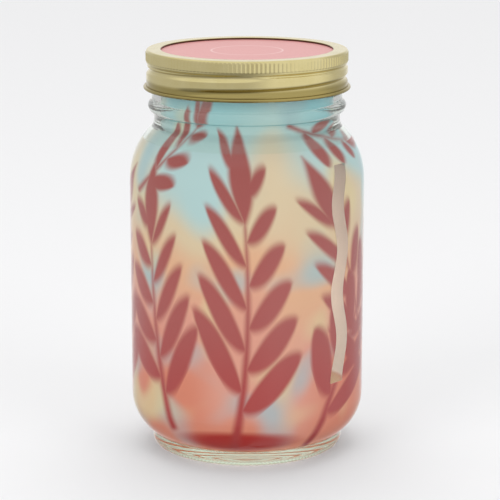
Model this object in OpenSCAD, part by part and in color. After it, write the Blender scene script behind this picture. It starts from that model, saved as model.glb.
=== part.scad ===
// Hydroponic jar planter, closed for storage.
// A wide-mouth glass jar is shut by a sealing disc and a screw band. A steel net pot
// hangs in its mouth with a growing plug in it, and a felt wick draws water up to the
// plug. Seeds, plant food and a folded card lie on the plug.
//
// Millimetres. +Z is up, the front is -Y, and the origin is the middle of the jar's foot.

/* [Jar body] */
// Outside diameter of the straight wall
body_d = 103; // [99:0.5:107]
// Height from the foot to the sealing rim
jar_h = 174.6; // [168:0.2:200]
// Thickness of the glass wall
glass_wall = 1.8; // [1.5:0.1:3]
// Height of the floor inside the jar
floor_z = 5.3; // [4.8:0.1:8]
// Radius of the rounded shoulder
shoulder_r = 32; // [28:0.5:35]
// Radius of the rounded heel
heel_r = 20.5; // [19:0.5:24]
// Height where the heel meets the straight wall
heel_z = 24; // [22:0.5:30]

/* [Jar foot] */
// How far the foot stands in from the straight wall
foot_inset = 9.2; // [8:0.2:12]
// Height of the foot
foot_h = 7.2; // [6:0.1:8]
// Rounding of the foot's lower edge
foot_round = 3.8; // [2:0.1:5]
// Width of the flat ring that the jar stands on
bearing_w = 3; // [2:0.1:5]
// Rise of the dished underside
dish_h = 2.6; // [1:0.1:3.4]

/* [Jar neck] */
// Bore of the mouth
mouth_d = 75.2; // [73:0.1:76.4]
// Outside diameter of the neck, under the bead
neck_d = 81.4; // [80.6:0.1:83]
// Outside diameter of the glass between the threads
finish_d = 83.4; // [83:0.1:84]
// Drop from the rim to the foot of the neck
neck_drop = 28.6; // [27.8:0.1:34]
// Radius of the hollow where the shoulder turns into the neck
neck_fillet = 3.5; // [2.5:0.1:5]
// Drop from the rim to the middle of the bead
bead_drop = 22; // [21:0.1:23]
// Outside diameter of the bead
bead_d = 86.4; // [85.4:0.1:86.6]
// Radius of the bead's own section
bead_round = 3; // [2:0.1:3.4]
// Rounding of the rim's outer edge
rim_round = 1.5; // [0.8:0.1:1.8]
// Rounding of the rim's inner edge
mouth_round = 1; // [0.5:0.1:1.4]

/* [Thread] */
// Rise of the thread in one turn
pitch = 6.35; // [6:0.05:7]
// Height that the glass thread stands out of the finish
thread_h = 1.3; // [1:0.05:1.4]
// Half the width of a thread's crest
crest_half = 0.55; // [0.4:0.05:0.7]
// Sideways run of a thread's flank for each unit of its height
flank = 0.7; // [0.5:0.05:0.8]
// Drop from the rim to the glass thread, at the front
thread_drop = 9.15; // [8.6:0.05:9.6]
// Play between the flanks of the two threads
thread_play = 0.2; // [0.1:0.05:0.4]

/* [Screw band] */
// Height of the band
band_h = 17.2; // [16.6:0.1:18]
// Thickness of the sheet
sheet = 0.35; // [0.25:0.05:0.45]
// Gap between the glass thread and the band's skirt
skirt_gap = 0.45; // [0.3:0.05:0.6]
// Depth of the thread rolled into the skirt
roll_h = 1.25; // [1:0.05:1.3]
// Diameter of the hole in the band's top
lip_d = 74.8; // [72:0.2:78]
// Thickness of the folded hem round that hole
hem_t = 0.8; // [0.6:0.05:1]
// Width of that hem
hem_w = 1.6; // [1:0.1:2.4]
// Rounding of the band's upper edge
corner_r = 1; // [0.6:0.1:1.4]
// Radius of the rolled curl at the band's lower edge
curl_r = 0.75; // [0.6:0.05:0.9]
// Depth of the ring groove under the grip
ring_in = 0.8; // [0.4:0.05:0.9]
// Half the width of that groove
ring_half = 1.2; // [1:0.1:1.4]
// Height of the ribbed grip
knurl_h = 4; // [3:0.1:4.4]
// Height that the grip's ribs stand out
knurl_out = 0.25; // [0.15:0.05:0.35]
// Number of ribs round the grip
knurl_count = 150; // [120:1:180]

/* [Sealing disc] */
// Diameter of the disc
disc_d = 84; // [82:0.2:84.2]
// Thickness of the disc
disc_t = 0.3; // [0.2:0.05:0.5]
// Thickness of the soft sealing ring under it
seal_t = 0.7; // [0.5:0.05:1]
// Width of the sealing ring
seal_w = 3.6; // [2.6:0.1:4]
// Play between the disc and the band's hem
disc_play = 0.1; // [0.05:0.05:0.3]

/* [Colour coat] */
// Thickness of the coloured layer inside the glass
coat_t = 0.2; // [0.15:0.05:0.3]
// Gap between that layer and the glass
coat_gap = 0.1; // [0.05:0.05:0.2]
// Height of the coat's lower edge above the floor
coat_lift = 0.6; // [0.4:0.1:4]
// Drop from the rim to the coat's upper edge
coat_drop = 2.6; // [2:0.1:6]
// Width of the clear window for the water level
window_w = 8; // [6:0.5:14]
// Lower end of the window
window_z0 = 36; // [28:1:50]
// Upper end of the window
window_z1 = 131; // [90:1:133]
// Depth of the waves along the window's edge
wave_h = 1.8; // [0:0.1:2.4]
// Length of one wave
wave_l = 39.5; // [20:0.5:60]
// Direction of the window, in degrees right of the front
window_at = 52; // [0:1:90]

/* [Net pot] */
// Depth of the pot below the rim
pot_depth = 56; // [48:1:62]
// Outside diameter of the pot at its base
pot_base_d = 66; // [62:0.5:69]
// Gap between the pot and the mouth of the jar
pot_gap = 0.7; // [0.4:0.05:1]
// Thickness of the pot's sheet
pot_sheet = 0.5; // [0.4:0.05:0.8]
// How far the pot's rim stands in from the edge of the glass
flange_inset = 0.5; // [0.2:0.05:1]
// Thickness of the pot's base
base_t = 0.8; // [0.6:0.05:1.2]
// Number of slots in one row round the pot
slot_count = 24; // [18:1:28]
// Width of one slot
slot_w = 3; // [2:0.1:4]
// Length of one slot
slot_h = 19; // [14:0.5:20]
// Diameter of the drain holes in the base
drain_d = 4; // [3:0.1:5]
// Number of drain holes
drain_count = 14; // [8:2:16]

/* [Plug and wick] */
// Height of the growing plug
plug_h = 28; // [22:0.5:34]
// Gap between the plug and the pot
plug_gap = 0.5; // [0.3:0.05:1]
// Diameter of the planting hole
dibble_d = 12; // [8:0.5:16]
// Depth of the planting hole
dibble_h = 14; // [8:0.5:18]
// Width of the wick's strip
wick_w = 15; // [10:0.5:20]
// Thickness of the wick's strip
wick_t = 2; // [1.5:0.1:3]
// Distance between the wick's two legs
wick_span = 16; // [12:0.5:22]
// Height of the wick's ends above the floor
wick_lift = 4; // [2:0.5:12]
// Clearance round the wick where it passes the base
wick_clear = 0.4; // [0.3:0.1:1]

/* [Packets and card] */
// Size of the seed packet
seed_size = [44, 34, 3]; // [1:0.5:60]
// Size of the plant food packet
food_size = [50, 38, 7]; // [1:0.5:60]
// Size of the folded card
card_size = [52, 40, 1.5]; // [1:0.1:60]
// Width of a packet's sealed edge
crimp_w = 4; // [3:0.5:6]
// Thickness of a packet's sealed edge
crimp_t = 0.4; // [0.3:0.05:0.6]
// Thickness of one leaf of the card
leaf_t = 0.5; // [0.3:0.05:0.6]

/* [Hidden] */
$fn = 96;

// Radii of the jar
body_r = body_d / 2;
mouth_r = mouth_d / 2;
neck_r = neck_d / 2;
finish_r = finish_d / 2;
foot_r = body_r - foot_inset;
bearing_r = foot_r - foot_round - bearing_w;
cavity_r = body_r - glass_wall;

// The shoulder's arc and the hollow under the neck touch, outside and inside alike
neck_z = jar_h - neck_drop;
shoulder_x = body_r - shoulder_r;
neck_run = neck_r + neck_fillet - shoulder_x;
shoulder_z = neck_z - sqrt(pow(shoulder_r + neck_fillet, 2) - pow(neck_run, 2));
throat_fillet = neck_fillet + 1.5;
throat_run = mouth_r + throat_fillet - shoulder_x;
cavity_shoulder_r = shoulder_r - glass_wall;
throat_z = shoulder_z + sqrt(pow(cavity_shoulder_r + throat_fillet, 2) - pow(throat_run, 2));
cavity_heel_r = heel_z - floor_z;
heel_start = foot_h + 0.7;

// The bead is part of a circle that meets the neck below and the finish above
bead_z = jar_h - bead_drop;
bead_x = bead_d / 2 - bead_round;

// The threads, each at the front of the jar
glass_crest_r = finish_r + thread_h;
skirt_r = glass_crest_r + skirt_gap;
skirt_out_r = skirt_r + sheet;
band_crest_r = skirt_r - roll_h;
flank_reach = 2 * crest_half + flank * (glass_crest_r - band_crest_r);
glass_thread_z = jar_h - thread_drop;
band_thread_z = glass_thread_z - flank_reach - thread_play;
front = -90;
glass_thread_from = -400;
glass_thread_to = 83;
band_thread_from = -135;
band_thread_to = 292;
ring_step = 10;
run_out = 40;
embed = 0.4;
end_share = 0.07;

// The stack on the rim: pot rim, sealing ring, disc, hem of the band
flange_t = pot_sheet;
seal_z = jar_h + flange_t;
disc_z = seal_z + seal_t;
disc_r = disc_d / 2;
seal_r = disc_r - 0.6;
band_top = disc_z + disc_t + disc_play + hem_t;
band_z = band_top - band_h;
knurl_z = band_top - corner_r - 0.1 - knurl_h;
ring_z = knurl_z - ring_half - 0.4;

// The net pot
pot_r = mouth_r - pot_gap;
pot_base_r = pot_base_d / 2;
pot_z = jar_h - pot_depth;
pot_floor_z = pot_z + base_t;
flange_r = finish_r - flange_inset;
slot_gap = (pot_depth - base_t - 2 * slot_h) / 3;
drain_ring_r = pot_base_r * 0.78;

// What stands in the pot
plug_top = pot_floor_z + plug_h;
wick_end_z = floor_z + wick_lift;
wick_bend = wick_t + 1;
packet_z = plug_top + seed_size.z;
card_z = packet_z + food_size.z;

// The coat
coat_z0 = floor_z + coat_lift;
coat_z1 = jar_h - coat_drop;

// Points on a circle about c, from angle a to angle b
function arc(c, r, a, b, n) = [for (i = [0:n])
    let (t = a + (b - a) * i / n) c + r * [cos(t), sin(t)]];

function flipped(list) = [for (i = [len(list) - 1:-1:0]) list[i]];

// Outside radius of the pot at height z
function pot_r_at(z) = pot_base_r + (pot_r - pot_base_r) * (z - pot_z) / pot_depth;

// Outline of the outside of the glass, from the bearing ring up to the rim
function glass_side() =
    let (heel_a = -asin((heel_z - heel_start) / heel_r),
         shoulder_a = acos(neck_run / (shoulder_r + neck_fillet)),
         bead_low = -acos((neck_r - bead_x) / bead_round),
         bead_high = acos((finish_r - bead_x) / bead_round))
    concat(
        arc([foot_r - foot_round, foot_round], foot_round, -90, 0, 5),
        [[foot_r, foot_h]],
        arc([body_r - heel_r, heel_z], heel_r, heel_a, 0, 8),
        arc([shoulder_x, shoulder_z], shoulder_r, 0, shoulder_a, 12),
        arc([neck_r + neck_fillet, neck_z], neck_fillet, 180 + shoulder_a, 180, 4),
        arc([bead_x, bead_z], bead_round, bead_low, bead_high, 8),
        arc([finish_r - rim_round, jar_h - rim_round], rim_round, 0, 90, 4));

// Outline of the cavity from its heel up to height top, drawn in by gap from the glass
function cavity_side(gap, heel_a, top) =
    let (shoulder_a = acos(throat_run / (cavity_shoulder_r + throat_fillet)))
    concat(
        arc([cavity_r - cavity_heel_r, heel_z], cavity_heel_r - gap, heel_a, 0, 10),
        arc([shoulder_x, shoulder_z], cavity_shoulder_r - gap, 0, shoulder_a, 12),
        arc([mouth_r + throat_fillet, throat_z], throat_fillet + gap, 180 + shoulder_a, 180, 5),
        [[mouth_r - gap, top]]);

// Outline of the dished underside, from its middle to the bearing ring
function dish_side(n) = [for (i = [0:n])
    let (r = bearing_r * i / n) [r, dish_h * (1 - pow(i / n, 2))]];

// One thread as a swept ridge. Its height is z0 at the front, and it fades at both ends.
// The crest is at radius crest and the root at radius root, half is half the root's width.
module helix(root, crest, half_root, half_crest, z0, from, to) {
    n = round((to - from) / ring_step);
    fade = function(a) min(1, (a - from) / run_out, (to - a) / run_out);
    section = function(a) let (
            s = end_share + (1 - end_share) * sin(90 * fade(a)),
            r = root + (crest - root) * s,
            z = z0 + pitch * (a - front) / 360,
            d = [cos(a), sin(a)])
        [for (p = [[root, -half_root], [r, -half_crest], [r, half_crest], [root, half_root]])
            [p.x * d.x, p.x * d.y, z + p.y]];
    rings = [for (i = [0:n]) section(from + (to - from) * i / n)];
    sides = [for (i = [0:n - 1]) for (j = [0:3])
        [4 * i + j, 4 * i + 4 + j, 4 * i + 4 + (j + 1) % 4, 4 * i + (j + 1) % 4]];
    outward = crest > root;
    faces = concat([[0, 1, 2, 3]], sides, [[4 * n + 3, 4 * n + 2, 4 * n + 1, 4 * n]]);
    polyhedron([for (r = rings) each r],
               outward ? [for (f = faces) flipped(f)] : faces, convexity = 8);
}

module jar() {
    half = crest_half + flank * (thread_h + embed);
    color([0.85, 0.93, 0.9, 0.45]) union() {
        rotate_extrude() polygon(concat(
            dish_side(6),
            glass_side(),
            arc([mouth_r + mouth_round, jar_h - mouth_round], mouth_round, 90, 180, 3),
            flipped(cavity_side(0, -90, jar_h - mouth_round - 1)),
            [[0, floor_z]]));
        helix(finish_r - embed, glass_crest_r, half, crest_half, glass_thread_z,
              glass_thread_from, glass_thread_to);
    }
}

// The wavy strip that is left clear, as seen from outside
module window_shape() {
    n = 24;
    step = (window_z1 - window_z0) / n;
    wave = function(i) -wave_h * cos(360 * i * step / wave_l);
    polygon(concat(
        [for (i = [0:n]) [-window_w / 2 + wave(i), window_z0 + i * step]],
        [for (i = [n:-1:0]) [window_w / 2 + wave(i), window_z0 + i * step]]));
}

module colour_coat() {
    start = function(gap) -asin((heel_z - coat_z0) / (cavity_heel_r - gap));
    inner = coat_gap + coat_t;
    color([0.85, 0.55, 0.47]) difference() {
        rotate_extrude() polygon(concat(
            cavity_side(coat_gap, start(coat_gap), coat_z1),
            flipped(cavity_side(inner, start(inner), coat_z1))));
        rotate(front + window_at) translate([cavity_r - 6, 0, 0]) rotate([90, 0, 90])
            linear_extrude(12) window_shape();
    }
}

module screw_band() {
    half = crest_half + flank * (roll_h + sheet / 2);
    slant = sheet * (sqrt(1 + flank * flank) - flank);
    groove_half = crest_half - slant;
    groove_out = skirt_out_r + 0.6;
    color([0.80, 0.72, 0.47]) difference() {
        union() {
            rotate_extrude() polygon(concat(
                [[skirt_r, band_z + curl_r], [skirt_out_r, band_z + curl_r]],
                ring_groove(skirt_out_r),
                arc([skirt_out_r - corner_r, band_top - corner_r], corner_r, 0, 90, 5),
                [[lip_d / 2, band_top], [lip_d / 2, band_top - hem_t],
                 [lip_d / 2 + hem_w, band_top - hem_t], [lip_d / 2 + hem_w, band_top - sheet]],
                arc([skirt_out_r - corner_r, band_top - corner_r], corner_r - sheet, 90, 0, 5),
                flipped(ring_groove(skirt_r))));
            rotate_extrude() translate([skirt_r + curl_r + sheet / 2, band_z + curl_r])
                circle(curl_r, $fn = 24);
            translate([0, 0, knurl_z]) knurl();
            helix(skirt_r + sheet / 2, band_crest_r, half, crest_half, band_thread_z,
                  band_thread_from, band_thread_to);
        }
        helix(groove_out, band_crest_r + sheet,
              groove_half + flank * (groove_out - band_crest_r - sheet), groove_half,
              band_thread_z, band_thread_from, band_thread_to);
    }
}

// Outline of the ring groove in a wall of radius r
function ring_groove(r) = [for (i = [-4:4])
    [r - ring_in * (1 + cos(45 * i)) / 2, ring_z + ring_half * i / 4]];

// The ribbed grip, as a ring of small teeth
module knurl() {
    valley = skirt_out_r + 0.05;
    linear_extrude(knurl_h) difference() {
        polygon([for (i = [0:2 * knurl_count - 1])
            (i % 2 == 0 ? valley : skirt_out_r + knurl_out)
            * [cos(180 * i / knurl_count), sin(180 * i / knurl_count)]]);
        circle(skirt_r + sheet / 2);
    }
}

module ring(outer, inner, h) {
    linear_extrude(h) difference() {
        circle(outer);
        circle(inner);
    }
}

module lid_disc() {
    color([0.91, 0.70, 0.70]) translate([0, 0, disc_z]) cylinder(disc_t, r = disc_r);
}

module lid_seal() {
    color([0.93, 0.91, 0.88]) translate([0, 0, seal_z]) ring(seal_r, seal_r - seal_w, seal_t);
}

module pot_rim() {
    color([0.78, 0.79, 0.80]) translate([0, 0, jar_h]) ring(flange_r, pot_r - pot_sheet, flange_t);
}

module pot_wall() {
    low_r = pot_r_at(pot_floor_z);
    color([0.74, 0.75, 0.77]) difference() {
        translate([0, 0, pot_floor_z]) cylinder(jar_h - pot_floor_z, low_r, pot_r);
        translate([0, 0, pot_floor_z - 1])
            cylinder(jar_h - pot_floor_z + 2, pot_r_at(pot_floor_z - 1) - pot_sheet,
                     pot_r_at(jar_h + 1) - pot_sheet);
        for (row = [0, 1], i = [0:slot_count - 1])
            rotate(360 * (i + row / 2) / slot_count)
                translate([pot_base_r - 4, -slot_w / 2, pot_floor_z + slot_gap + row * (slot_h + slot_gap)])
                    cube([12, slot_w, slot_h]);
    }
}

module pot_base() {
    leg_x = wick_span / 2 + wick_t / 2;
    hole = [wick_t + 2 * wick_clear, wick_w + 2 * wick_clear];
    color([0.74, 0.75, 0.77]) translate([0, 0, pot_z]) difference() {
        cylinder(base_t, r = pot_r_at(pot_floor_z));
        for (side = [-1, 1])
            translate([side * leg_x - hole.x / 2, -hole.y / 2, -1]) cube([hole.x, hole.y, base_t + 2]);
        for (i = [0:drain_count - 1])
            rotate(360 * (i + 0.5) / drain_count) translate([drain_ring_r, 0, -1])
                cylinder(base_t + 2, d = drain_d, $fn = 32);
    }
}

module growing_plug() {
    channel_w = wick_w + 2 * wick_clear;
    reach = wick_span + 2 * wick_t + 4;
    color([0.36, 0.25, 0.17]) difference() {
        translate([0, 0, pot_floor_z])
            cylinder(plug_h, pot_r_at(pot_floor_z) - pot_sheet - plug_gap,
                     pot_r_at(plug_top) - pot_sheet - plug_gap);
        translate([-reach / 2, -channel_w / 2, pot_floor_z - 1]) cube([reach, channel_w, wick_t + 1]);
        translate([0, 0, plug_top - dibble_h]) cylinder(dibble_h + 1, d = dibble_d, $fn = 48);
    }
}

// A strip bent to an upside-down U: a bridge on the pot's base, and two legs in the water
module wick() {
    outer_x = wick_span / 2 + wick_t;
    top = pot_floor_z + wick_t;
    color([0.90, 0.89, 0.85]) rotate([90, 0, 0]) linear_extrude(wick_w, center = true)
        polygon(concat(
            [[-outer_x, wick_end_z]],
            arc([-outer_x + wick_bend, top - wick_bend], wick_bend, 180, 90, 4),
            arc([outer_x - wick_bend, top - wick_bend], wick_bend, 90, 0, 4),
            [[outer_x, wick_end_z], [outer_x - wick_t, wick_end_z]],
            arc([outer_x - wick_bend, top - wick_bend], wick_bend - wick_t, 0, 90, 2),
            arc([-outer_x + wick_bend, top - wick_bend], wick_bend - wick_t, 90, 180, 2),
            [[-outer_x + wick_t, wick_end_z]]));
}

// A flat packet: a sealed edge all round, and a filled middle that rests on z = 0
module packet(size) {
    fill = [size.x - 2 * crimp_w, size.y - 2 * crimp_w];
    translate([0, 0, size.z / 2])
        cube([size.x, size.y, crimp_t], center = true);
    hull() {
        for (z = [crimp_t, size.z - crimp_t])
            translate([0, 0, z]) cube([fill.x, fill.y, crimp_t], center = true);
        translate([0, 0, size.z / 2]) cube([fill.x + crimp_w, fill.y + crimp_w, crimp_t], center = true);
        for (x = [-1, 1], y = [-1, 1])
            translate([x * (fill.x / 2 - crimp_w), y * (fill.y / 2 - crimp_w), 0])
                cylinder(size.z, r = crimp_w / 2, $fn = 16);
    }
}

module seed_packet() {
    color([0.93, 0.89, 0.80]) translate([0, 0, plug_top]) packet(seed_size);
}

module food_packet() {
    color([0.86, 0.87, 0.89]) translate([0, 0, packet_z]) packet(food_size);
}

// One sheet folded in half, with the fold on the left
module guide_card() {
    slit = card_size.z - 2 * leaf_t;
    color([0.96, 0.94, 0.90]) translate([-card_size.x / 2, -card_size.y / 2, card_z]) difference() {
        cube(card_size);
        translate([leaf_t, -1, leaf_t]) cube([card_size.x, card_size.y + 2, slit]);
    }
}

jar();
colour_coat();
screw_band();
lid_disc();
lid_seal();
pot_rim();
pot_wall();
pot_base();
growing_plug();
wick();
seed_packet();
food_packet();
guide_card();
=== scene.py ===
"""The looks of a hydroponic jar planter: a glass jar with a soft printed colour coat, a gold
screw band, a pink sealing disc, and the net pot, plug, wick and packets inside."""
import math

import bmesh
import bpy
import numpy as np
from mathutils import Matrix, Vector


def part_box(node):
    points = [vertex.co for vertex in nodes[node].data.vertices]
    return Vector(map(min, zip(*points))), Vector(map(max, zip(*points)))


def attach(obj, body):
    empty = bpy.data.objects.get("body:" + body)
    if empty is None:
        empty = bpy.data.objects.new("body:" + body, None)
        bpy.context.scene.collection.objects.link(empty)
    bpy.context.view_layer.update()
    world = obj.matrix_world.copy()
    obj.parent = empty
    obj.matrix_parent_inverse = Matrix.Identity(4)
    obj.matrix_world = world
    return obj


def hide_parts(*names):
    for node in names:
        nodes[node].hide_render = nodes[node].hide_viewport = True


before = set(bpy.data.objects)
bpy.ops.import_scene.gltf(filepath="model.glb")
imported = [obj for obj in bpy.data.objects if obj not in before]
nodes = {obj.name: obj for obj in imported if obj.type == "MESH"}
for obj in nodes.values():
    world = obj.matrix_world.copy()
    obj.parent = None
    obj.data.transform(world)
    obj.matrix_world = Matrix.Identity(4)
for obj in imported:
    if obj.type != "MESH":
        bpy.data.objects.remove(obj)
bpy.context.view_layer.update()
MM = 0.001

# The jar, in millimetres, as the CAD has it where the frame doesn't give it
JAR_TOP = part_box("jar")[1].z / MM
BODY_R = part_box("jar")[1].x / MM
FLOOR_Z = 5.3
GLASS_WALL = 1.8
SHOULDER_R = 32.0
HEEL_R = 20.5
HEEL_Z = 24.0
FOOT_R = BODY_R - 9.2
FOOT_H = 7.2
FOOT_ROUND = 3.8
BEARING_W = 3.0
DISH_H = 2.6
MOUTH_R = 37.6
NECK_R = 40.7
NECK_Z = JAR_TOP - 28.6
NECK_FILLET = 3.5
THROAT_FILLET = 5.0
FINISH_R = 41.7
BEAD_R = 43.2
BEAD_Z = JAR_TOP - 22
BEAD_ROUND = 3.0
RIM_ROUND = 1.5
MOUTH_ROUND = 1.0
STIPPLE_COUNT = 150
STIPPLE_IN = 0.16
STIPPLE_TOP = 2.6
JAR_SIDES = 600

# The threads: their heights are at the front, and their ends are angles in degrees
PITCH = 6.35
FRONT = -90.0
RUN_OUT = 40
THREAD_H = 1.3
THREAD_HALF = 1.9
GLASS_THREAD_Z = JAR_TOP - 9.15
GLASS_THREAD_ENDS = (-400, 83)

# The band
BAND_Z, BAND_TOP = (corner.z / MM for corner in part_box("screw_band"))
BAND_THREAD_Z = BAND_TOP - 13.4
BAND_THREAD_ENDS = (-135, 292)
SKIRT_R = 43.45
SKIRT_STEP = 0.16
SHEET = 0.35
ROLL_H = 1.2
ROLL_HALF = 2.1
CORNER_R = 1.0
RING_Z = BAND_TOP - 6.7
RING_HALF = 1.2
RING_IN = 0.8
CURL_R = 0.75
LIP_R = 37.4
HEM_T = 0.8
HEM_W = 1.6
KNURL_COUNT = 150
KNURL_OUT = 0.24
KNURL_Z = (BAND_TOP - 5.1, BAND_TOP - 0.75)
BAND_SIDES = 900

# The coloured coat and its window, whose place is in degrees round from the front
COAT_GAP = 0.12
COAT_T = 0.18
COAT_STEP = 1.5
COAT_Z0 = FLOOR_Z + 0.6
COAT_Z1 = JAR_TOP - 2.6
CLING_Z = (136.0, 141.0)
WINDOW_W = 8.0
WINDOW_Z = (36.0, 131.0)
WINDOW_AT = 52.0
WAVE_H = 1.8
WAVE_L = 39.5

# Colours of the print, by height as a share of the jar's
GROUND = ((0.02, "cf6a50"), (0.15, "db8269"), (0.33, "e09a88"), (0.50, "e3ad8a"), (0.64, "dcc3a2"),
          (0.78, "b3cdce"), (1.0, "8cc8d3"))
REDS = ((0.03, "a01a1a"), (0.16, "ae4240"), (0.4, "ab5350"), (0.8, "9f4d49"), (0.95, "a8706c"))
# Where each sprig springs from (millimetres round from the front, height), then its lean,
# arch, length, leaf length, half breadth, gap, splay and blur
SPRIGS = (
    (-6, 10, 14, -24, 112, 40, 6.0, 18, 40, 1.6),
    (-34, 16, -20, 20, 92, 36, 5.8, 16, 44, 1.9),
    (30, 8, 18, 22, 98, 38, 6.2, 17, 42, 1.7),
    (76, 12, -10, -20, 108, 38, 6.0, 18, 40, 2.0),
    (112, 20, 16, 24, 96, 34, 5.6, 17, 44, 2.0),
    (150, 10, -8, -22, 106, 38, 6.2, 18, 42, 1.8),
    (-118, 16, 12, 22, 100, 36, 6.0, 18, 42, 2.0),
    (-78, 14, 6, -22, 104, 36, 5.8, 18, 42, 2.4),
    (-58, 118, 58, -12, 46, 20, 4.0, 12, 46, 1.6),
    (22, 150, 118, -10, 44, 20, 4.0, 12, 46, 1.6),
    (136, 112, 60, -14, 46, 20, 3.8, 12, 46, 1.8),
    (-134, 116, 55, -14, 44, 20, 3.8, 12, 46, 1.8))
LEAF_STAGGER = 0.45
TIP_LEAF_AT = 0.86
# A line of painted shade in the neck, standing in for the shaded coat under the band seen through the
# bead, and a deep red bloom low at the front
NECK_PAINTED_SHADE_Z = JAR_TOP - 24.2
BLOOM_Z = 13.5
BLOOM_H = 5.5
BLOOM_AT = -4.0
BLOOM_W = 30.0
# The gold's foot, painted darker as shade, and the ring on the disc
GOLD_FOOT_PAINTED_SHADE_Z = (163.2, 165.0)
PALE_RING_R = 15.5
# The depth of the finest relief, in metres as bump nodes take it
FINE_RELIEF = 0.0001

# The studio, in metres and watts
AMBIENT = 0.62
SUN = 1.3
SUN_WIDTH = math.radians(62)
SUN_TOWARDS = Vector((0.0, -0.46, -0.89))
FILL_SIZE = 1.0
FILLS = (("left", Vector((-1.2, -1.3, 0.8)), 9.0), ("right", Vector((1.3, -1.2, 0.7)), 7.0))
FILL_AIM = Vector((0, 0, 0.09))
GLOW_POWER = 0.021
GLOW_W = 0.006
GLOW_H = 0.085
GLOW_Z = 0.064
GLOW_OUT = 0.012
CAMERA_AT = Vector((0.0013, -0.9, 0.293))
CAMERA_AIM = Vector((0.0013, 0, 0.0872))


def arc(cx, cz, r, a, b, n):
    """n + 1 points on a circle about (cx, cz), from angle a to b in degrees."""
    t = np.radians(np.linspace(a, b, n + 1))
    return np.column_stack([cx + r * np.cos(t), cz + r * np.sin(t)])


def line(start, end, step):
    """Points from start to end, about step apart, without the first."""
    start, end = np.array(start, float), np.array(end, float)
    n = max(1, int(math.ceil(np.linalg.norm(end - start) / step)))
    return start + (end - start) * (np.arange(1, n + 1) / n)[:, None]


def join(*runs):
    """Runs of points as one path. A run given as (end, step) is a line from where the last one
    stopped."""
    path = []
    for run in runs:
        if isinstance(run, tuple):
            run = line(path[-1], run[0], run[1])
        path.extend(np.asarray(run, float))
    return np.array(path)


def spread(path, step):
    """The same path with points added so that none are further apart than step."""
    out = [path[0]]
    for a, b in zip(path, path[1:]):
        out.extend(line(a, b, step))
    return np.array(out)


def new_object(name, verts, faces):
    """A smooth mesh object. verts are in metres."""
    mesh = bpy.data.meshes.new(name)
    mesh.from_pydata(verts, [], faces)
    mesh.validate()
    mesh.update()
    mesh.shade_smooth()
    obj = bpy.data.objects.new(name, mesh)
    bpy.context.scene.collection.objects.link(obj)
    return obj


def revolve(name, path, count, radial, closed=True):
    """A round solid. path is (radius, height) in mm, anticlockwise, and radial(angle, path) gives
    what is added to each radius. A path that isn't closed starts and ends on the axis."""
    rings = []
    for a in 2 * math.pi * np.arange(count) / count:
        r = path[:, 0] + radial(a, path)
        rings.append(np.column_stack([r * math.cos(a), r * math.sin(a), path[:, 1]]))
    verts = np.concatenate(rings) * MM
    n = len(path)
    faces = []
    for i in range(count):
        j = (i + 1) % count
        for k in range(n if closed else n - 1):
            m = (k + 1) % n
            face = (i * n + k, j * n + k, j * n + m, i * n + m)
            if not closed:
                # All the rings share the first one's two points on the axis
                face = tuple(dict.fromkeys(v % n if v % n in (0, n - 1) else v for v in face))
            faces.append(face)
    obj = new_object(name, [tuple(v) for v in verts], faces)
    clean(obj.data)
    return obj


def clean(mesh):
    """Drops points that no face uses, and turns all faces outward."""
    bm = bmesh.new()
    bm.from_mesh(mesh)
    bmesh.ops.delete(bm, geom=[v for v in bm.verts if not v.link_faces], context="VERTS")
    bmesh.ops.recalc_face_normals(bm, faces=bm.faces)
    bm.to_mesh(mesh)
    bm.free()


# The outlines of the jar
SHOULDER_X = BODY_R - SHOULDER_R
NECK_RUN = NECK_R + NECK_FILLET - SHOULDER_X
SHOULDER_Z = NECK_Z - math.sqrt((SHOULDER_R + NECK_FILLET) ** 2 - NECK_RUN ** 2)
CAVITY_R = BODY_R - GLASS_WALL
CAVITY_SHOULDER_R = SHOULDER_R - GLASS_WALL
THROAT_RUN = MOUTH_R + THROAT_FILLET - SHOULDER_X
THROAT_Z = SHOULDER_Z + math.sqrt((CAVITY_SHOULDER_R + THROAT_FILLET) ** 2 - THROAT_RUN ** 2)
CAVITY_HEEL_R = HEEL_Z - FLOOR_Z


def deg_acos(x):
    return math.degrees(math.acos(x))


def deg_asin(x):
    return math.degrees(math.asin(x))


def glass_side():
    """The outside of the glass, from the bearing ring to the rim."""
    shoulder = deg_acos(NECK_RUN / (SHOULDER_R + NECK_FILLET))
    bead_x = BEAD_R - BEAD_ROUND
    heel_start = FOOT_H + 0.7
    return join(
        arc(FOOT_R - FOOT_ROUND, FOOT_ROUND, FOOT_ROUND, -90, 0, 10),
        [(FOOT_R, FOOT_H - 0.5), (FOOT_R + 0.15, FOOT_H)],
        arc(BODY_R - HEEL_R, HEEL_Z, HEEL_R, -deg_asin((HEEL_Z - heel_start) / HEEL_R), 0, 18),
        arc(SHOULDER_X, SHOULDER_Z, SHOULDER_R, 0, shoulder, 24),
        arc(NECK_R + NECK_FILLET, NECK_Z, NECK_FILLET, 180 + shoulder, 180, 6)[1:],
        arc(bead_x, BEAD_Z, BEAD_ROUND, -deg_acos((NECK_R - bead_x) / BEAD_ROUND),
            deg_acos((FINISH_R - bead_x) / BEAD_ROUND), 14),
        ((FINISH_R, JAR_TOP - RIM_ROUND), 0.35),
        arc(FINISH_R - RIM_ROUND, JAR_TOP - RIM_ROUND, RIM_ROUND, 0, 90, 6)[1:])


def cavity_side(gap, heel_from, top):
    """The inside of the glass from its heel to height top, drawn in by gap."""
    shoulder = deg_acos(THROAT_RUN / (CAVITY_SHOULDER_R + THROAT_FILLET))
    return join(
        arc(CAVITY_R - CAVITY_HEEL_R, HEEL_Z, CAVITY_HEEL_R - gap, heel_from, 0, 20),
        arc(SHOULDER_X, SHOULDER_Z, CAVITY_SHOULDER_R - gap, 0, shoulder, 24),
        arc(MOUTH_R + THROAT_FILLET, THROAT_Z, THROAT_FILLET + gap, 180 + shoulder, 180, 8)[1:],
        [(MOUTH_R - gap, top)])


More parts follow.
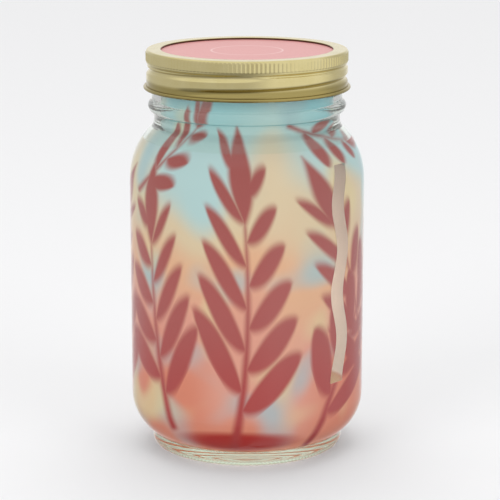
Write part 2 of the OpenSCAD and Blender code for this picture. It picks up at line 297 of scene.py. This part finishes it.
def helix_distance(angle, z, z_front, ends):
    """How far each height lies from the thread's middle at this angle, and how much of the
    thread is left there, as it fades out towards its ends. Angles are in degrees."""
    first, last = ends
    best = np.full(len(z), 99.0)
    left = np.zeros(len(z))
    turn = math.floor((first - angle) / 360)
    for k in range(turn, turn + 5):
        a = angle + 360 * k
        if a < first or a > last:
            continue
        d = z - (z_front + PITCH * (a - FRONT) / 360)
        nearer = np.abs(d) < np.abs(best)
        share = math.sin(math.pi / 2 * min(1, (a - first) / RUN_OUT, (last - a) / RUN_OUT))
        best = np.where(nearer, d, best)
        left = np.where(nearer, share, left)
    return best, left


def bump(d, half):
    """1 in the middle of a thread, 0 from half its width on, round at both."""
    t = np.clip(1 - np.abs(d) / half, 0, 1)
    return t * t * (3 - 2 * t)


# The glass jar, with its thread and the fine ribs under its foot
def make_jar():
    dish_r = FOOT_R - FOOT_ROUND - BEARING_W
    dish = [(r, DISH_H * (1 - (r / dish_r) ** 2)) for r in np.linspace(0, dish_r, 12)]
    inside = cavity_side(0, -90, JAR_TOP - MOUTH_ROUND - 1)
    path = join(dish, glass_side(),
                arc(MOUTH_R + MOUTH_ROUND, JAR_TOP - MOUTH_ROUND, MOUTH_ROUND, 90, 180, 4),
                inside[::-1], [(0, FLOOR_Z)])
    r, z = path[:, 0], path[:, 1]
    on_finish = (r > FINISH_R - 0.01) & (z > BEAD_Z + 2) & (z < JAR_TOP)
    stippled = (z < STIPPLE_TOP) & (r > FOOT_R - FOOT_ROUND + 0.1)

    def radial(a, p):
        d, left = helix_distance(math.degrees(a), p[:, 1], GLASS_THREAD_Z, GLASS_THREAD_ENDS)
        thread = THREAD_H * bump(d, THREAD_HALF) * left
        ribs = STIPPLE_IN * (math.cos(STIPPLE_COUNT * a) - 1)
        return np.where(on_finish, thread, 0) + np.where(stippled, ribs, 0)

    jar = revolve("jar_glass", path, JAR_SIDES, radial, closed=False)
    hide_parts("jar")
    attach(jar, "jar")
    return jar


def window_edges(z):
    """The left and right edges of the window at height z, in radians from the front."""
    wave = -WAVE_H * math.cos(2 * math.pi * (z - WINDOW_Z[0]) / WAVE_L)
    middle = math.radians(WINDOW_AT) + wave / CAVITY_R
    half = WINDOW_W / 2 / CAVITY_R
    return middle - half, middle + half


# The coloured coat, an open shell with the wavy window left out. It clings to the glass of the
# body, and stands just clear of it from the top of the shoulder up.
def make_coat():
    start = -deg_asin((HEEL_Z - COAT_Z0) / (CAVITY_HEEL_R - COAT_GAP))
    clear = spread(cavity_side(COAT_GAP, start, COAT_Z1), COAT_STEP)
    close = clear + np.array([2 * COAT_GAP, 0])
    share = np.clip((clear[:, 1] - CLING_Z[0]) / (CLING_Z[1] - CLING_Z[0]), 0, 1)[:, None]
    path = close + share * (clear - close)
    # The window's two ends get points of their own
    wanted = [z for z in WINDOW_Z if np.min(np.abs(path[:, 1] - z)) > 0.01]
    for z in wanted:
        k = int(np.searchsorted(path[:, 1], z))
        share = (z - path[k - 1, 1]) / (path[k, 1] - path[k - 1, 1])
        path = np.insert(path, k, path[k - 1] + share * (path[k] - path[k - 1]), axis=0)
    # Points round the coat, and across its window
    around, across = 240, 8
    verts, faces = [], []
    for r, z in path:
        left, right = window_edges(min(max(z, WINDOW_Z[0]), WINDOW_Z[1]))
        outer = right + (2 * math.pi - (right - left)) * np.arange(around) / around
        inner = left + (right - left) * np.arange(across) / across
        for t in np.concatenate([outer, inner]):
            a = t - math.pi / 2
            verts.append((r * math.cos(a) * MM, r * math.sin(a) * MM, z * MM))
    count = around + across
    for k in range(len(path) - 1):
        in_window = WINDOW_Z[0] - 0.005 < path[k, 1] and path[k + 1, 1] < WINDOW_Z[1] + 0.005
        for i in range(around if in_window else count):
            j = (i + 1) % count
            faces.append((k * count + i, k * count + j, (k + 1) * count + j, (k + 1) * count + i))
    coat = new_object("printed_coat", verts, faces)
    shell = coat.modifiers.new("thickness", "SOLIDIFY")
    shell.thickness = COAT_T * MM
    shell.offset = -1
    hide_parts("colour_coat")
    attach(coat, "jar")
    return coat


# The screw band: curl, rolled thread, ribbed grip, corner and folded hem
def make_band():
    out_r = SKIRT_R + SHEET
    curl_x = SKIRT_R + CURL_R + SHEET / 2
    curl_z = BAND_Z + CURL_R
    corner = (out_r - CORNER_R, BAND_TOP - CORNER_R)
    meet = deg_acos((out_r - curl_x) / CURL_R)
    hem = HEM_T / 2
    hem_x = LIP_R + HEM_W
    path = join(
        arc(curl_x, curl_z, CURL_R, 180, 360 + meet, 20),
        ((out_r, corner[1]), SKIRT_STEP),
        arc(*corner, CORNER_R, 0, 90, 8)[1:],
        ((LIP_R + hem, BAND_TOP), 0.8),
        arc(LIP_R + hem, BAND_TOP - hem, hem, 90, 270, 8)[1:],
        ((hem_x, BAND_TOP - HEM_T), 0.5),
        [(hem_x + 0.1, BAND_TOP - HEM_T + 0.1), (hem_x + 0.1, BAND_TOP - SHEET - 0.05)],
        ((corner[0], BAND_TOP - SHEET), 0.9),
        arc(*corner, CORNER_R - SHEET, 90, 0, 6)[1:],
        ((SKIRT_R, curl_z + 0.2), SKIRT_STEP))
    r, z = path[:, 0], path[:, 1]
    outside = np.abs(r - out_r) < 1e-6
    on_skirt = outside | (np.abs(r - SKIRT_R) < 1e-6)
    ring = -RING_IN * (1 + np.cos(math.pi * np.clip((z - RING_Z) / RING_HALF, -1, 1))) / 2
    grip = np.clip((z - KNURL_Z[0]) / 0.3, 0, 1) * np.clip((KNURL_Z[1] - z) / 0.5, 0, 1)
    above_curl = np.clip((z - curl_z - 0.9) / 0.6, 0, 1)

    def radial(a, p):
        d, left = helix_distance(math.degrees(a), p[:, 1], BAND_THREAD_Z, BAND_THREAD_ENDS)
        thread = -ROLL_H * bump(d, ROLL_HALF) * left * above_curl * (1 - grip * 0.8)
        rib = KNURL_OUT * (0.5 + 0.5 * math.cos(KNURL_COUNT * a)) ** 0.8
        rolled = np.where(on_skirt, np.minimum(thread, ring), 0)
        return rolled + np.where(outside | (r > out_r - 0.2), rib * grip, 0)

    band = revolve("gold_band", path, BAND_SIDES, radial)
    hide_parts("screw_band")
    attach(band, "band")
    return band


def hex_colour(text):
    """An sRGB colour, such as "c0b285", as the linear values that shaders take."""
    out = []
    for i in (0, 2, 4):
        c = int(text[i:i + 2], 16) / 255
        out.append(c / 12.92 if c <= 0.04045 else ((c + 0.055) / 1.055) ** 2.4)
    return (*out, 1.0)


class Tree:
    """A material's or group's nodes, written as plain calls. Numbers, sockets and hex colours
    mix freely."""

    def __init__(self, tree):
        self.tree = tree

    def node(self, kind, **settings):
        node = self.tree.nodes.new(kind)
        for key, value in settings.items():
            setattr(node, key, value)
        return node

    def put(self, socket, value):
        if isinstance(value, bpy.types.NodeSocket):
            self.tree.links.new(value, socket)
        elif isinstance(value, str):
            socket.default_value = hex_colour(value)
        else:
            socket.default_value = value

    def fill(self, node, *values):
        """Sets a node's inputs in their order, and gives its first output."""
        for socket, value in zip(node.inputs, values):
            self.put(socket, value)
        return node.outputs[0]

    def math(self, op, *values):
        return self.fill(self.node("ShaderNodeMath", operation=op), *values)

    def chain(self, op, first, *rest):
        """One operation over two or more values."""
        for value in rest:
            first = self.math(op, first, value)
        return first

    def add(self, *values):
        return self.chain("ADD", *values)

    def mul(self, *values):
        return self.chain("MULTIPLY", *values)

    def sub(self, a, b):
        return self.math("SUBTRACT", a, b)

    def div(self, a, b):
        return self.math("DIVIDE", a, b)

    def max(self, a, b):
        return self.math("MAXIMUM", a, b)

    def min(self, a, b):
        return self.math("MINIMUM", a, b)

    def abs(self, a):
        return self.math("ABSOLUTE", a)

    def sin(self, a):
        return self.math("SINE", a)

    def cos(self, a):
        return self.math("COSINE", a)

    def radius(self, x, y):
        return self.math("SQRT", self.add(self.mul(x, x), self.mul(y, y)))

    def turn(self, x, y):
        """The angle round the upright axis, from the front towards +X."""
        return self.math("ARCTAN2", x, self.mul(y, -1.0))

    def smooth(self, value, low, high):
        """0 at low and 1 at high, with soft ends."""
        node = self.node("ShaderNodeMapRange", interpolation_type="SMOOTHSTEP")
        return self.fill(node, value, low, high, 0.0, 1.0)

    def mix(self, share, a, b):
        node = self.node("ShaderNodeMix", data_type="RGBA")
        self.put(node.inputs[0], share)
        self.put(node.inputs[6], a)
        self.put(node.inputs[7], b)
        return node.outputs[2]

    def mix_shaders(self, share, a, b):
        return self.fill(self.node("ShaderNodeMixShader"), share, a, b)

    def noise(self, vector, scale, detail, rough):
        node = self.node("ShaderNodeTexNoise")
        for key, value in zip(("Vector", "Scale", "Detail", "Roughness"), (vector, scale, detail, rough)):
            self.put(node.inputs[key], value)
        return node.outputs["Fac"]

    def ramp(self, value, stops):
        node = self.node("ShaderNodeValToRGB")
        node.color_ramp.interpolation = "EASE"
        elements = node.color_ramp.elements
        while len(elements) < len(stops):
            elements.new(0.5)
        for element, (place, colour) in zip(elements, stops):
            element.position = place
            element.color = hex_colour(colour)
        return self.fill(node, value)

    def place(self):
        return self.node("ShaderNodeTexCoord").outputs["Object"]

    def split(self, vector):
        node = self.node("ShaderNodeSeparateXYZ")
        self.put(node.inputs[0], vector)
        return node.outputs

    def vector(self, x, y, z):
        return self.fill(self.node("ShaderNodeCombineXYZ"), x, y, z)

    def bump(self, height, strength, distance):
        node = self.node("ShaderNodeBump")
        for key, value in zip(("Height", "Strength", "Distance"), (height, strength, distance)):
            self.put(node.inputs[key], value)
        return node.outputs[0]

    def is_ray(self, kind):
        return self.node("ShaderNodeLightPath").outputs["Is %s Ray" % kind]

    def surface(self, shader):
        """Makes a shader the one that the material or world shows."""
        kind = "World Output" if "World Output" in self.tree.nodes else "Material Output"
        self.put(self.tree.nodes[kind].inputs["Surface"], shader)


def material(name, colour, rough, metal=0.0, **sockets):
    """A Principled material and its node tree. colour is a hex colour."""
    mat = bpy.data.materials.new(name)
    mat.use_nodes = True
    shader = mat.node_tree.nodes["Principled BSDF"]
    shader.inputs["Base Color"].default_value = hex_colour(colour)
    shader.inputs["Roughness"].default_value = rough
    shader.inputs["Metallic"].default_value = metal
    for key, value in sockets.items():
        shader.inputs[key.replace("_", " ")].default_value = value
    return mat, Tree(mat.node_tree), shader


def wear(obj, mat):
    """Gives an object one material in place of what it has."""
    obj.data.materials.clear()
    obj.data.materials.append(mat)


# Clear glass, greener where it is thick at the foot. Light from lamps and from matt surfaces
# passes straight through it.
def glass_material():
    mat, t, shader = material("clear_glass", "edf6ef", 0.0, IOR=1.5, Transmission_Weight=1.0)
    z = t.split(t.place())[2]
    at_foot = t.smooth(z, 9 * MM, 6 * MM)
    t.put(shader.inputs["Base Color"], t.mix(at_foot, "edf6ef", "d2e2cc"))
    straight = t.max(t.is_ray("Shadow"), t.is_ray("Diffuse"))
    clear = t.fill(t.node("ShaderNodeBsdfTransparent"), "fcfdfd")
    t.surface(t.mix_shaders(straight, shader.outputs[0], clear))
    return mat


# A leafy sprig as a soft mask: an arching stem with pairs of almond leaves
def sprig_group():
    group = bpy.data.node_groups.new("sprig", "ShaderNodeTree")
    names = ("Around", "Height", "From", "Up", "Lean", "Arch", "Length", "Leaf", "Broad", "Gap",
             "Splay", "Blur")
    for name in names:
        group.interface.new_socket(name, in_out="INPUT", socket_type="NodeSocketFloat")
    group.interface.new_socket("Mask", in_out="OUTPUT", socket_type="NodeSocketFloat")
    t = Tree(group)
    given = t.node("NodeGroupInput").outputs
    around, height, x0, z0, lean, arch = (given[name] for name in names[:6])
    length, leaf, broad, gap, splay, blur = (given[name] for name in names[6:])
    sharp = t.mul(blur, -1.0)
    half_way = math.pi * CAVITY_R
    dx = t.math("WRAP", t.sub(around, x0), half_way, -half_way)
    dz = t.sub(height, z0)
    # Along the stem and across it, once the arch is taken out
    c, s = t.cos(lean), t.sin(lean)
    along = t.add(t.mul(dx, s), t.mul(dz, c))
    share = t.div(along, length)
    sag = t.mul(arch, t.math("POWER", t.max(share, 0.0), 1.7))
    across = t.sub(t.sub(t.mul(dx, c), t.mul(dz, s)), sag)
    side = t.abs(across)
    # Each point lies on one leaf's slanting line. Leaves on the left start higher.
    on_left = t.math("LESS_THAN", across, 0.0)
    slant = t.sub(along, t.mul(side, t.div(1.0, t.math("TANGENT", splay))))
    slant = t.sub(slant, t.mul(on_left, gap, LEAF_STAGGER))
    root = t.mul(t.math("ROUND", t.div(slant, gap)), gap)
    off = t.mul(t.abs(t.sub(slant, root)), t.sin(splay))
    out = t.div(side, t.sin(splay))
    # Leaves grow smaller towards the tip, and each is widest in its middle
    reach = t.div(root, length)
    grow = t.sub(1.08, t.mul(reach, 0.62))
    along_leaf = t.div(out, t.mul(leaf, grow))
    belly = t.sin(t.mul(t.min(along_leaf, 1.0), math.pi))
    width = t.mul(t.math("POWER", t.max(belly, 0.0), 0.75), broad, grow)
    leaves = t.smooth(t.sub(off, width), blur, sharp)
    inside = t.mul(t.math("GREATER_THAN", reach, 0.08), t.math("LESS_THAN", reach, 0.97))
    leaves = t.mul(leaves, t.mul(inside, t.smooth(along_leaf, 1.08, 0.9)))
    # The stem, and a last leaf at its tip
    tip_z = t.mul(length, TIP_LEAF_AT)
    tip = t.div(t.sub(along, tip_z), leaf)
    tip_belly = t.sin(t.mul(t.min(t.max(tip, 0.0), 1.0), math.pi))
    stem_w = t.mul(t.sub(1.15, share), t.mul(broad, 0.3))
    stem_w = t.max(stem_w, t.mul(t.max(tip_belly, 0.0), t.mul(broad, 0.9)))
    stem = t.smooth(t.sub(side, stem_w), blur, sharp)
    end = t.add(tip_z, leaf)
    ends = t.mul(t.smooth(along, -1.0, 2.0), t.smooth(along, t.add(end, 1.0), end))
    t.put(t.node("NodeGroupOutput").inputs["Mask"], t.max(leaves, t.mul(stem, ends)))
    return group


def sprig_mask(t, around, height):
    """All the sprigs as one mask, fainter where they are blurred."""
    group = sprig_group()
    mask = 0.0
    for x0, z0, lean, arch, length, leaf, broad, gap, splay, blur in SPRIGS:
        node = t.node("ShaderNodeGroup")
        node.node_tree = group
        sprig = t.fill(node, around, height, x0, z0, math.radians(lean), arch, length, leaf, broad,
                       gap, math.radians(splay), blur)
        mask = t.max(mask, t.mul(sprig, min(1.0, 1.16 - 0.08 * blur)))
    return mask


def clouds(t, angle, height, rise, start, scale):
    """Soft noise that closes round the back of the jar."""
    up = t.add(t.mul(height, rise), start)
    return t.noise(t.vector(t.sin(angle), t.cos(angle), up), scale, 1.0, 0.4)


def print_colour(t, angle, height):
    """The colour of the print: soft clouds with dark red sprigs on them, and a line of painted shade in
    the neck.
    """
    around = t.mul(angle, CAVITY_R)
    share = t.div(height, JAR_TOP)
    drift = t.mul(t.sub(clouds(t, angle, height, 0.016, 0.0, 1.15), 0.5), 0.6)
    ground = t.ramp(t.add(share, drift), GROUND)
    blue = t.smooth(clouds(t, angle, height, 0.02, 5.0, 1.7), 0.52, 0.72)
    ground = t.mix(t.mul(blue, 0.8), ground, "9fbec6")
    cream = t.smooth(clouds(t, angle, height, 0.017, 11.0, 1.9), 0.56, 0.76)
    ground = t.mix(t.mul(cream, 0.75), ground, "e0ca9c")
    # The heel faces down into shade, so its colour is painted lighter there as painted light, but for the
    # bloom
    ground = t.mix(t.smooth(height, 13.0, 7.0), ground, "f09472")
    low = t.div(t.sub(height, BLOOM_Z), BLOOM_H)
    wide = t.div(t.sub(around, BLOOM_AT), BLOOM_W)
    bloom = t.add(t.mul(low, low), t.mul(wide, wide))
    ground = t.mix(t.mul(t.smooth(bloom, 1.2, 0.2), 0.95), ground, "a80804")
    colour = t.mix(sprig_mask(t, around, height), ground, t.ramp(share, REDS))
    # Painted shade: a dark teal line just under the band, where the bead shows the coat in the band's
    # shade
    neck_painted_shade = t.smooth(t.abs(t.sub(height, NECK_PAINTED_SHADE_Z)), 0.9, 0.3)
    return t.mix(t.mul(neck_painted_shade, 0.7), colour, "3f8a8e")


# The print is pale from inside, partly as its pale backing and partly as painted light for the dim inside
# of the jar.
# It sends little colour on to the floor, and lets half of the lamps' light through
def coat_material():
    mat, t, shader = material("colour_print", "dda49b", 0.6, Specular_IOR_Level=0.15)
    x, y, z = t.split(t.place())
    height = t.mul(z, 1 / MM)
    colour = print_colour(t, t.turn(x, y), height)
    outside = t.mix(t.mul(t.is_ray("Diffuse"), 0.9), colour, "a2a0a0")
    inner = t.math("LESS_THAN", t.radius(x, y), (CAVITY_R + COAT_GAP - COAT_T / 2) * MM)
    straight = t.mul(t.smooth(height, HEEL_Z - 2, HEEL_Z), t.smooth(height, SHOULDER_Z + 2, SHOULDER_Z))
    # Partly painted light: the inside of the straight wall is painted pale so that the dim inside of the
    # jar reads bright
    t.put(shader.inputs["Base Color"], t.mix(t.mul(inner, straight), outside, "f4e8e1"))
    through = t.node("ShaderNodeBsdfTransparent").outputs[0]
    t.surface(t.mix_shaders(t.mul(t.is_ray("Shadow"), 0.5), shader.outputs[0], through))
    return mat


# Gold lacquered tinplate: satin, with faint rolling marks round it, with painted shade at its foot
# standing in for the dark floor it reflects, and painted shade inside the folded hem
def gold_material():
    mat, t, shader = material("gold_sheet", "d8cb92", 0.3, metal=1.0)
    place = t.place()
    x, y, z = t.split(place)
    streaks = t.noise(t.vector(x, y, t.mul(z, 14.0)), 160, 3.0, 0.6)
    mottle = t.noise(place, 90, 4.0, 0.6)
    gold = t.mix(mottle, "cfc084", "ded2a2")
    # Painted shade: the foot is darkened, standing in for the dark floor that it reflects
    low = t.smooth(z, GOLD_FOOT_PAINTED_SHADE_Z[1] * MM, GOLD_FOOT_PAINTED_SHADE_Z[0] * MM)
    gold = t.mix(t.mul(low, 0.85), gold, "9a8a50")
    # Painted shade: the inner face of the folded hem is darkened, standing in for the shade in the gap
    # above the disc
    inner = t.smooth(t.radius(x, y), (LIP_R + 0.5) * MM, (LIP_R + 0.25) * MM)
    hem = t.mul(inner, t.smooth(z, (BAND_TOP - 0.05) * MM, (BAND_TOP - 0.22) * MM))
    t.put(shader.inputs["Base Color"], t.mix(t.mul(hem, 0.9), gold, "4a1408"))
    t.put(shader.inputs["Roughness"], t.add(0.13, t.mul(streaks, 0.16)))
    t.put(shader.inputs["Normal"], t.bump(streaks, 0.07, FINE_RELIEF))
    return mat


# Pink lacquer on the disc, with a plain pale ring
def pink_material():
    mat, t, shader = material("pink_lacquer", "d28d8a", 0.38, Specular_IOR_Level=0.5)
    place = t.place()
    x, y, z = t.split(place)
    off = t.abs(t.sub(t.radius(x, y), PALE_RING_R * MM))
    ring = t.smooth(off, 0.6 * MM, 0.25 * MM)
    speckle = t.noise(place, 700, 3.0, 0.6)
    pink = t.mix(speckle, "cd8582", "d99592")
    t.put(shader.inputs["Base Color"], t.mix(t.mul(ring, 0.5), pink, "ecd0ce"))
    t.put(shader.inputs["Normal"], t.bump(speckle, 0.08, FINE_RELIEF))
    return mat


def fibre_material(name, low, high, scale, depth):
    """Fibres as stretched noise in two directions, for coir and felt."""
    mat, t, shader = material(name, low, 0.95)
    x, y, z = t.split(t.place())
    one = t.noise(t.vector(t.mul(x, 6.0), y, z), scale, 4.0, 0.7)
    two = t.noise(t.vector(x, t.mul(y, 6.0), t.mul(z, 3.0)), scale, 4.0, 0.7)
    fibres = t.max(one, two)
    t.put(shader.inputs["Base Color"], t.mix(t.smooth(fibres, 0.4, 0.75), low, high))
    t.put(shader.inputs["Normal"], t.bump(fibres, 0.9, depth))
    return mat


# Stainless steel, brushed round the pot
def steel_material():
    mat, t, shader = material("pot_steel", "c4c6c8", 0.28, metal=1.0)
    x, y, z = t.split(t.place())
    brush = t.noise(t.vector(x, y, t.mul(z, 20.0)), 220, 3.0, 0.6)
    t.put(shader.inputs["Roughness"], t.add(0.2, t.mul(brush, 0.22)))
    t.put(shader.inputs["Normal"], t.bump(brush, 0.15, FINE_RELIEF))
    return mat


def plain_material(name, low, high, rough, scale):
    """A plain surface with a fine grain, for paper, film, card and the seal."""
    mat, t, shader = material(name, low, rough)
    grain = t.noise(t.place(), scale, 4.0, 0.6)
    t.put(shader.inputs["Base Color"], t.mix(grain, low, high))
    t.put(shader.inputs["Normal"], t.bump(grain, 0.2, FINE_RELIEF))
    return mat


# White paper under the jar. Seen through the glass, the paper to the sides and far in front is painted
# darker, as painted shade standing in for a dimmer studio there.
def make_floor():
    bpy.ops.mesh.primitive_plane_add(size=8.0, location=(0, 1.0, 0))
    floor = bpy.context.object
    floor.name = "floor"
    mat, t, shader = material("floor_paper", "ededee", 0.9, Specular_IOR_Level=0.0)
    x, y, z = t.split(t.place())
    # Painted shade: for rays through the glass, the paper to the sides and far in front is darker
    painted_shade_aside = t.max(t.smooth(t.abs(x), 0.12, 0.4), t.smooth(y, -1.2, -1.5))
    painted_shade_aside = t.mul(painted_shade_aside, t.is_ray("Transmission"))
    t.put(shader.inputs["Base Color"], t.mix(painted_shade_aside, "ededee", "c4bec2"))
    wear(floor, mat)
    floor.visible_glossy = False


# A plain backdrop for the camera, even light for matt surfaces, and for glass and metal a room
# that is brighter above, behind and at the right, and dimmer below
def make_world():
    world = bpy.data.worlds.new("studio")
    bpy.context.scene.world = world
    world.use_nodes = True
    t = Tree(world.node_tree)
    backdrop = t.fill(world.node_tree.nodes["Background"], "f3f3f4", 1.0)
    x, y, z = t.split(t.node("ShaderNodeTexCoord").outputs["Generated"])
    turn = t.turn(x, y)
    right = t.mul(t.smooth(turn, 0.0, 0.6), t.smooth(turn, 2.1, 1.6))
    behind = t.smooth(t.abs(turn), 2.5, 2.95)
    below = t.smooth(z, -0.15, -0.55)
    above = t.smooth(z, 0.25, 0.7)
    level = t.add(0.68, t.mul(right, 0.34), t.mul(behind, 0.32))
    level = t.max(t.sub(level, t.mul(below, 0.32)), above)
    soft = t.fill(t.node("ShaderNodeBackground"), "ffffff", AMBIENT)
    room = t.fill(t.node("ShaderNodeBackground"), "ffffff", level)
    sees_room = t.max(t.is_ray("Glossy"), t.is_ray("Transmission"))
    unseen = t.mix_shaders(sees_room, soft, room)
    t.surface(t.mix_shaders(t.is_ray("Camera"), unseen, backdrop))


def facing(direction):
    """The rotation that points a lamp or a camera along a direction."""
    return direction.to_track_quat("-Z", "Y").to_euler()


def add_lamp(name, kind, power, place, turn, hidden, **settings):
    """A lamp that the kinds of ray named in hidden don't see."""
    data = bpy.data.lights.new(name, kind)
    data.energy = power
    for key, value in settings.items():
        setattr(data, key, value)
    lamp = bpy.data.objects.new(name, data)
    bpy.context.scene.collection.objects.link(lamp)
    lamp.location = place
    lamp.rotation_euler = turn
    for ray in hidden:
        setattr(lamp, "visible_" + ray, False)


# A wide soft sun, two fills, and two narrow lamps back to back inside the jar, which stand in
# for the light that a real coat lets through
def make_lights():
    unseen = ("glossy", "transmission")
    add_lamp("sky", "SUN", SUN, (0, 0, 0), facing(SUN_TOWARDS), unseen, angle=SUN_WIDTH)
    for name, place, power in FILLS:
        add_lamp(name, "AREA", power, place, facing(FILL_AIM - place), unseen, shape="RECTANGLE",
                 size=FILL_SIZE, size_y=FILL_SIZE)
    for side in (1, -1):
        add_lamp("glow", "AREA", GLOW_POWER, (0, side * GLOW_OUT, GLOW_Z),
                 (math.radians(90 * side), 0, 0), ("camera", *unseen), shape="RECTANGLE",
                 size=GLOW_W, size_y=GLOW_H, color=hex_colour("ffece4")[:3])


# The camera, at the photograph's height and distance
def make_camera():
    data = bpy.data.cameras.new("camera")
    data.sensor_width = 36.0
    data.lens = 150.0
    data.clip_start = 0.05
    data.clip_end = 50
    camera = bpy.data.objects.new("camera", data)
    bpy.context.scene.collection.objects.link(camera)
    camera.location = CAMERA_AT
    camera.rotation_euler = facing(CAMERA_AIM - CAMERA_AT)
    bpy.context.scene.camera = camera


bpy.context.scene.view_settings.view_transform = "Standard"
cycles = bpy.context.scene.cycles
cycles.max_bounces = 24
cycles.glossy_bounces = 16
cycles.transmission_bounces = 20
cycles.transparent_max_bounces = 32
make_camera()
make_floor()
make_world()
make_lights()
jar = make_jar()
coat = make_coat()
band = make_band()
steel = steel_material()
wear(jar, glass_material())
wear(coat, coat_material())
wear(band, gold_material())
wear(nodes["lid_disc"], pink_material())
wear(nodes["lid_seal"], plain_material("sealing_ring", "e6e2da", "efece6", 0.6, 900))
for name in ("pot_rim", "pot_wall", "pot_base"):
    wear(nodes[name], steel)
wear(nodes["growing_plug"], fibre_material("coir", "3a2717", "8a6238", 420, 0.0006))
wear(nodes["wick"], fibre_material("felt", "d6d3c8", "f0eee6", 900, 0.0003))
wear(nodes["seed_packet"], plain_material("seed_paper", "dccfae", "ebe0c6", 0.85, 700))
wear(nodes["food_packet"], plain_material("food_film", "cfd3d8", "dde0e4", 0.3, 120))
wear(nodes["guide_card"], plain_material("card", "e8e3d6", "f3efe6", 0.8, 900))
